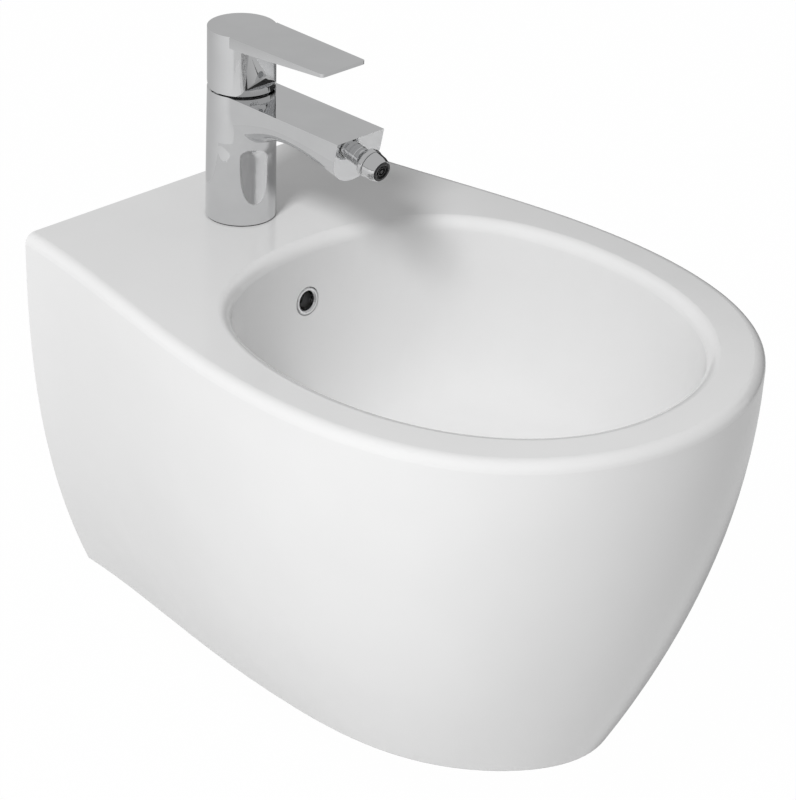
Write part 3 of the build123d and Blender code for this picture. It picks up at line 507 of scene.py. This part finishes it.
def skin_mesh(skin, low, high, step):
    """Mesh where the skin function is nought: one point in each crossed cell, moved onto the surface."""
    axes = [np.arange(a, b + step, step) for a, b in zip(low, high)]
    inside = skin(np.stack(np.meshgrid(*axes, indexing="ij"), -1)) < 0
    nx, ny, nz = inside.shape
    corners = np.zeros((nx - 1, ny - 1, nz - 1), int)
    for i in (0, 1):
        for j in (0, 1):
            for k in (0, 1):
                corners += inside[i:nx - 1 + i, j:ny - 1 + j, k:nz - 1 + k]
    crossed = (corners > 0) & (corners < 8)
    ids = -np.ones(crossed.shape, int)
    ids[crossed] = np.arange(crossed.sum())
    points = np.stack([axes[d][index] for d, index in enumerate(np.nonzero(crossed))], -1) + step / 2
    tiny = 0.001 * step
    for _ in range(6):
        value = skin(points)
        slope = np.stack(
            [(skin(points + tiny * unit) - skin(points - tiny * unit)) / (2 * tiny) for unit in np.eye(3)], -1
        )
        move = -(value / ((slope ** 2).sum(-1) + 1e-9))[:, None] * slope
        length = np.linalg.norm(move, axis=1, keepdims=True)
        points = points + move * np.minimum(1.0, step / np.maximum(length, 1e-9))
    faces = []
    for d in range(3):
        a, b = [axis for axis in range(3) if axis != d]
        first = inside.take(range(inside.shape[d] - 1), d)
        second = inside.take(range(1, inside.shape[d]), d)
        edges = np.argwhere(first != second)
        within = (edges[:, a] > 0) & (edges[:, b] > 0)
        within &= (edges[:, a] < inside.shape[a] - 1) & (edges[:, b] < inside.shape[b] - 1)
        edges = edges[within]
        # Round the middle axis the corners below run the other way, so its faces are turned over.
        outward = first[tuple(edges.T)] if d != 1 else ~first[tuple(edges.T)]
        around = []
        for shift_a, shift_b in ((-1, -1), (0, -1), (0, 0), (-1, 0)):
            cell = edges.copy()
            cell[:, a] += shift_a
            cell[:, b] += shift_b
            around.append(ids[tuple(cell.T)])
        quads = np.stack(around, -1)
        quads[~outward] = quads[~outward][:, ::-1]
        faces.append(quads)
    bm = bmesh.new()
    verts = [bm.verts.new(point * mm) for point in points]
    for quad in np.concatenate(faces):
        bm.faces.new([verts[index] for index in quad])
    return bm


def ground_flat(bm, point, normal):
    """Cuts everything off beyond a plane and closes the cut, as on a grinding belt."""
    everything = bm.verts[:] + bm.edges[:] + bm.faces[:]
    origin = Vector(point) * mm
    way = Vector(normal).normalized()
    bmesh.ops.bisect_plane(bm, geom=everything, dist=1e-6, plane_co=origin, plane_no=way, clear_outer=True)
    near = [vert for vert in bm.verts if abs((vert.co - origin).dot(way)) < 2e-6]
    bmesh.ops.remove_doubles(bm, verts=near, dist=3e-6)
    near = {vert for vert in bm.verts if abs((vert.co - origin).dot(way)) < 2e-6}
    rim = [edge for edge in bm.edges if edge.is_boundary and edge.verts[0] in near and edge.verts[1] in near]
    bmesh.ops.holes_fill(bm, edges=rim, sides=0)
    bmesh.ops.recalc_face_normals(bm, faces=bm.faces)


def drilled(piece, cutters):
    """Takes the cutters out of a piece and clears them away."""
    for cutter in cutters:
        modifier = piece.modifiers.new("drill", "BOOLEAN")
        modifier.operation = "DIFFERENCE"
        modifier.solver = "EXACT"
        modifier.object = cutter
    keep_result(piece)
    for cutter in cutters:
        bpy.data.objects.remove(cutter)


def rounded_edges(piece, width, angle=35.0, segments=2):
    """Breaks the sharp edges with a small round and keeps the flats flat."""
    modifier = piece.modifiers.new("break_edges", "BEVEL")
    modifier.width = width * mm
    modifier.segments = segments
    modifier.limit_method = "ANGLE"
    modifier.angle_limit = math.radians(angle)
    modifier.harden_normals = True
    keep_result(piece)


tap_place = Matrix.Translation((0.0, -tap_at * mm, deck * mm))
nozzle_drop = side_share * spout_end_depth
face_centre = Vector((
    0.0,
    -tap_at - spout_reach + nozzle_drop * math.sin(face_tilt),
    deck + body_top - nozzle_drop * math.cos(face_tilt),
))
face_way = Vector((0.0, -math.cos(face_tilt), -math.sin(face_tilt)))
nozzle_axis = facing(face_centre, face_way)

casting = skin_mesh(mixer_skin, (-30.0, -138.0, -3.0), (30.0, 30.0, 108.0), 1.1)
ground_flat(casting, (0.0, 0.0, body_top), upward)
ground_flat(casting, (0.0, 0.0, body_foot), (0.0, 0.0, -1.0))
ground_flat(casting, (0.0, -spout_reach, body_top), face_way)
casting.transform(tap_place)
mixer = finished("mixer_body_chrome", casting, 30.0)
tap_axis = facing((0.0, -tap_at, deck), upward)
hose_half_spacing = 8.5
hose_setback = 4.0
stud_setback = 12.5
crisp = 0.01
bore_profile = [(0.0, 52.0), (17.65, 52.0), (17.65, 88.0), (19.66, 88.0), (19.66, 104.0), (0.0, 104.0)]
recess_profile = [(0.0, -2.0), (20.0, -2.0), (20.0, 19.0), (0.0, 19.0)]
socket_profile = [(0.0, -9.0), (6.86, -9.0), (6.86, 2.0), (0.0, 2.0)]
feed_profile = [(0.0, 18.0), (4.5, 18.0), (4.5, 33.0), (3.5, 33.0), (3.5, 51.0), (0.0, 51.0)]
stud_profile = [(0.0, 18.0), (3.96, 18.0), (3.96, 31.0), (0.0, 31.0)]
cutters = [
    turned("bore", bore_profile, tap_axis, crisp, 96, False),
    turned("foot_recess", recess_profile, tap_axis, crisp, 96, False),
    turned("socket", socket_profile, nozzle_axis, crisp, 64, False),
]
for side in (-1, 1):
    feed = facing((side * hose_half_spacing, -tap_at - hose_setback, deck), upward)
    cutters.append(turned("feed", feed_profile, feed, crisp, 48, False))
stud_hole = facing((0.0, -tap_at + stud_setback, deck), upward)
cutters.append(turned("stud_hole", stud_profile, stud_hole, crisp, 48, False))
drilled(mixer, cutters)
rounded_edges(mixer, 0.35, 50.0)
fit(mixer, chrome, "fixed", "tap_chrome", "mixer_body")


# Under the mixer
# A thin black gasket seals the foot on the glaze. Below the deck a rubber horseshoe, a steel horseshoe
# and a long nut on a brass stud hold the mixer down.
stud_brass = new_material("threaded_brass", (0.72, 0.55, 0.28), 0.28, 1.0)
shade_between(stud_brass, noise(stud_brass, 150.0, 3.0), (0.62, 0.46, 0.22), (0.78, 0.61, 0.33))
thread_lines(stud_brass, 1.25 * mm, 20.0 * mm, 120.0 * mm, 0.7 * mm)
nodes["base_gasket"].material_slots[0].material = rubber
nodes["horseshoe_gasket"].material_slots[0].material = rubber
nodes["horseshoe_plate"].material_slots[0].material = zinc
nodes["mixer_stud"].material_slots[0].material = stud_brass
nut_below_deck = 27.5
long_nut_place = facing((0.0, -tap_at + stud_setback, deck - nut_below_deck), upward)
long_nut = hex_nut("stud_long_nut", 13.0, 16.0, 3.96, long_nut_place, 0.7)
fit(long_nut, brass, "fixed", "raw_brass", "stud_nut")


# Cartridge
# A moulded housing holds two lapped ceramic discs. The stem tips in its turret on a steel pin and pushes
# the upper disc in a plastic carrier; a brass nut clamps the housing down in the bore.
grey_plastic = new_material("grey_plastic", (0.36, 0.37, 0.38), 0.42)
shade_between(grey_plastic, noise(grey_plastic, 80.0), (0.33, 0.34, 0.35), (0.39, 0.40, 0.41))
relief(grey_plastic, noise(grey_plastic, 2500.0, 2.0), 0.000015)
alumina = new_material("lapped_alumina", (0.85, 0.83, 0.77), 0.3)
shade_between(alumina, noise(alumina, 500.0, 4.0), (0.80, 0.78, 0.71), (0.88, 0.86, 0.81))
steel = new_material("ground_steel", (0.60, 0.60, 0.59), 0.22, 1.0)
shade_between(steel, noise(steel, 300.0, 3.0), (0.54, 0.54, 0.53), (0.66, 0.66, 0.65))
roughness_between(steel, noise(steel, 500.0, 2.0, (0.2, 0.2, 4.0)), 0.16, 0.3)
nodes["cartridge_housing"].material_slots[0].material = white_plastic
nodes["fixed_disc"].material_slots[0].material = alumina
nodes["moving_disc"].material_slots[0].material = alumina
nodes["disc_carrier"].material_slots[0].material = grey_plastic
nodes["cartridge_turret"].material_slots[0].material = grey_plastic
nodes["pivot_pin"].material_slots[0].material = steel
nodes["cartridge_stem"].material_slots[0].material = steel
nodes["cartridge_nut"].material_slots[0].material = brass


# Cover ring
# A pale moulded ring that closes the gap under the lever and hides the cartridge nut.
pale_plastic = new_material("pale_grey_plastic", (0.55, 0.56, 0.57), 0.25)
shade_between(pale_plastic, noise(pale_plastic, 80.0), (0.52, 0.53, 0.54), (0.57, 0.58, 0.59))
relief(pale_plastic, noise(pale_plastic, 2500.0, 2.0), 0.00001)
cover_profile = [(11.5, 101.8), (17.6, 100.0), (20.2, 100.0), (20.2, 101.2), (14.5, 103.0), (11.5, 103.0)]
cover = turned("cover_ring_pale", cover_profile, tap_axis, 0.25, 96)
fit(cover, pale_plastic, "fixed", "pale_plastic", "cover_ring")


# Lever
# A zinc casting, polished and chrome plated: a round cap over the cartridge that runs out into a flat bar.
# A recess in the front of the cap holds the grub screw that clamps it on the stem, under a small button.
def softened(node, name, width, angle=35.0):
    """A copy of a CAD node with its machined edges broken by a small round."""
    bm = bmesh.new()
    bm.from_mesh(nodes[node].data)
    bmesh.ops.remove_doubles(bm, verts=bm.verts, dist=1e-6)
    bmesh.ops.dissolve_limit(
        bm, angle_limit=math.radians(0.5), verts=bm.verts, edges=bm.edges, delimit={"NORMAL"}
    )
    piece = finished(name, bm, angle)
    rounded_edges(piece, width, angle)
    return piece


lever = softened("lever_handle", "lever_chrome", 0.4)
fit(lever, chrome, "lever", "tap_chrome", "lever_handle")
nodes["grub_screw"].material_slots[0].material = steel
nodes["index_button"].material_slots[0].material = grey_plastic


# Nozzle
# A brass ball on a threaded neck, held in the spout; a ball nut with a plastic liner lets the tip swing
# to all sides. All but the liner and the black flow straightener in the mouth is turned and chrome plated.
ball_half = 7.4
ball_at = 12.3
ball_play = 0.05
liner_wall = 0.8
neck_half = 5.0
bore_half = 3.2
arc_from = -137.5
arc_to = 64.0
arc_steps = 21
adapter_profile = [
    (bore_half, -8.5), (6.8, -8.5), (6.8, -0.2), (7.2, 0.0), (7.2, 2.2),
    (6.9, 2.5), (6.9, 2.9), (7.2, 3.2), (7.2, 6.2), (neck_half, 6.2),
]
for step in range(arc_steps + 1):
    angle = math.radians(arc_from + step / arc_steps * (arc_to - arc_from))
    half = ball_half * math.cos(angle) if angle > -math.pi / 2 else neck_half
    adapter_profile.append((half, ball_at + ball_half * math.sin(angle)))
# The arc stops where it meets the bore through the ball.
adapter_profile = [point for point in adapter_profile if point[0] > bore_half + 0.05 or point[1] < 0.0]
adapter_profile.append((bore_half, 18.9))
adapter = turned("nozzle_adapter_chrome", adapter_profile, nozzle_axis, 0.15)
fit(adapter, chrome, "fixed", "tap_chrome", "nozzle_adapter")
nodes["ball_liner"].material_slots[0].material = white_plastic


def socket_arc(start, end, count=10):
    """Inside of the ball socket between two heights along the nozzle, as profile points."""
    half = ball_half + ball_play + liner_wall + ball_play
    points = []
    for step in range(count):
        height = start + (end - start) * step / (count - 1)
        points.append((math.sqrt(half ** 2 - (height - ball_at) ** 2), height))
    return points


ball_nut_profile = [(9.6, 9.3), (10.5, 10.9), (10.5, 13.7), (10.0, 14.2), (9.4, 14.2), (9.4, 12.3)]
ball_nut_profile += socket_arc(12.2, 9.3)
ball_nut = turned("ball_nut_chrome", ball_nut_profile, nozzle_axis, 0.3)
fit(ball_nut, chrome, "nozzle", "tap_chrome", "ball_nut")
tip_profile = [
    (9.34, 12.4), (9.34, 14.2), (9.5, 14.25), (10.0, 14.8), (9.35, 20.7),
    (8.6, 23.2), (7.9, 24.65), (6.45, 24.65), (6.45, 17.6),
]
tip_profile += socket_arc(17.5, 12.4)
tip = turned("nozzle_tip_chrome", tip_profile, nozzle_axis, 0.3)
fit(tip, chrome, "nozzle", "tap_chrome", "nozzle_tip")

black_plastic = new_material("black_plastic", (0.012, 0.012, 0.013), 0.28)
shade_between(black_plastic, noise(black_plastic, 200.0), (0.010, 0.010, 0.011), (0.018, 0.018, 0.02))
relief(black_plastic, noise(black_plastic, 3000.0, 2.0), 0.00001)
straightener_profile = [
    (5.4, 20.3), (6.35, 20.3), (6.35, 24.7), (7.4, 24.7), (7.4, 25.3), (7.0, 25.5), (5.4, 25.5),
]
straightener = turned("aerator_housing_black", straightener_profile, nozzle_axis, 0.15, 96)
fit(straightener, black_plastic, "nozzle", "black_plastic", "aerator_housing")
nodes["aerator_insert"].material_slots[0].material = black_plastic


# Studio
# A plain pale floor under the wall-hung body, an even pale surround, a soft lamp up to the left and a weak
# one beside it; a dark card to the right shows only in the polished metal.
def plane(name, corners, material):
    """A flat sheet through its corners, as part of the studio."""
    mesh = bpy.data.meshes.new(name)
    mesh.from_pydata(corners, [], [list(range(len(corners)))])
    mesh.materials.append(material)
    sheet = bpy.data.objects.new(name, mesh)
    bpy.context.scene.collection.objects.link(sheet)
    return sheet


floor_material = bpy.data.materials.new("pale_floor")
floor_material.use_nodes = True
tree = floor_material.node_tree
tree.nodes.clear()
path = tree.nodes.new("ShaderNodeLightPath")
matt = tree.nodes.new("ShaderNodeBsdfDiffuse")
matt.inputs["Color"].default_value = (0.86, 0.86, 0.86, 1.0)
glow = tree.nodes.new("ShaderNodeEmission")
glow.inputs["Color"].default_value = (1.0, 1.0, 1.0, 1.0)
glow.inputs["Strength"].default_value = 1.0
glow_share = 0.99
share = tree.nodes.new("ShaderNodeMath")
share.operation = "MULTIPLY"
share.inputs[1].default_value = glow_share
mix = tree.nodes.new("ShaderNodeMixShader")
out = tree.nodes.new("ShaderNodeOutputMaterial")
tree.links.new(path.outputs["Is Camera Ray"], share.inputs[0])
tree.links.new(share.outputs[0], mix.inputs[0])
tree.links.new(matt.outputs[0], mix.inputs[1])
tree.links.new(glow.outputs[0], mix.inputs[2])
tree.links.new(mix.outputs[0], out.inputs["Surface"])
floor_z = -0.32
floor_half = 30.0
floor_signs = [(-1, -1), (1, -1), (1, 1), (-1, 1)]
floor_corners = [(floor_half * across, floor_half * along, floor_z) for across, along in floor_signs]
plane("floor", floor_corners, floor_material)

world = bpy.data.worlds.new("studio")
world.use_nodes = True
bpy.context.scene.world = world
tree = world.node_tree
background = tree.nodes["Background"]
path = tree.nodes.new("ShaderNodeLightPath")
even_light = 0.36
more_in_metal = 0.2
more_when_seen = 0.64
in_metal = tree.nodes.new("ShaderNodeMath")
in_metal.operation = "MULTIPLY_ADD"
in_metal.inputs[1].default_value = more_in_metal
in_metal.inputs[2].default_value = even_light
seen = tree.nodes.new("ShaderNodeMath")
seen.operation = "MULTIPLY_ADD"
seen.inputs[1].default_value = more_when_seen
tree.links.new(path.outputs["Is Glossy Ray"], in_metal.inputs[0])
tree.links.new(path.outputs["Is Camera Ray"], seen.inputs[0])
tree.links.new(in_metal.outputs[0], seen.inputs[2])
tree.links.new(seen.outputs[0], background.inputs["Strength"])
background.inputs["Color"].default_value = (1.0, 1.0, 1.0, 1.0)


def soft_lamp(name, direction, distance, size, energy):
    """A round soft box that looks at the middle of the bowl."""
    lamp_data = bpy.data.lights.new(name, "AREA")
    lamp_data.shape = "DISK"
    lamp_data.size = size
    lamp_data.energy = energy
    lamp = bpy.data.objects.new(name, lamp_data)
    aim = Vector((0.0, -0.25, 0.05))
    lamp.location = aim + Vector(direction).normalized() * distance
    lamp.rotation_euler = (lamp.location - aim).to_track_quat("Z", "Y").to_euler()
    lamp.visible_glossy = False
    bpy.context.scene.collection.objects.link(lamp)


soft_lamp("key_lamp", (-0.9, -0.3, 1.0), 5.0, 1.2, 142.0)
soft_lamp("side_lamp", (-1.0, 0.15, 0.1), 4.0, 2.4, 18.0)

dark = bpy.data.materials.new("dark_card")
dark.use_nodes = True
shader_of(dark).inputs["Base Color"].default_value = (0.02, 0.02, 0.02, 1.0)
card_corners = [(1.0, -0.7, -0.2), (1.0, 1.2, -0.2), (1.0, 1.2, 0.62), (1.0, -0.7, 0.62)]
card = plane("dark_card_right", card_corners, dark)
card.visible_camera = False
card.visible_diffuse = False
card.visible_shadow = False

camera_data = bpy.data.cameras.new("camera")
camera_data.sensor_width = 36.0
camera_data.lens = 134.98
camera_data.clip_end = 100.0
camera = bpy.data.objects.new("camera", camera_data)
right = Vector((0.7098, -0.7037, 0.0313)).normalized()
back = -Vector((0.6316, 0.6161, -0.4707)).normalized()
up = back.cross(right).normalized()
right = up.cross(back)
turn = Matrix((right, up, back)).transposed().to_4x4()
camera_at = (-1.3541, -1.5622, 1.0)
camera.matrix_world = Matrix.Translation(camera_at) @ turn
bpy.context.scene.collection.objects.link(camera)
bpy.context.scene.camera = camera
bpy.context.scene.view_settings.view_transform = "Standard"
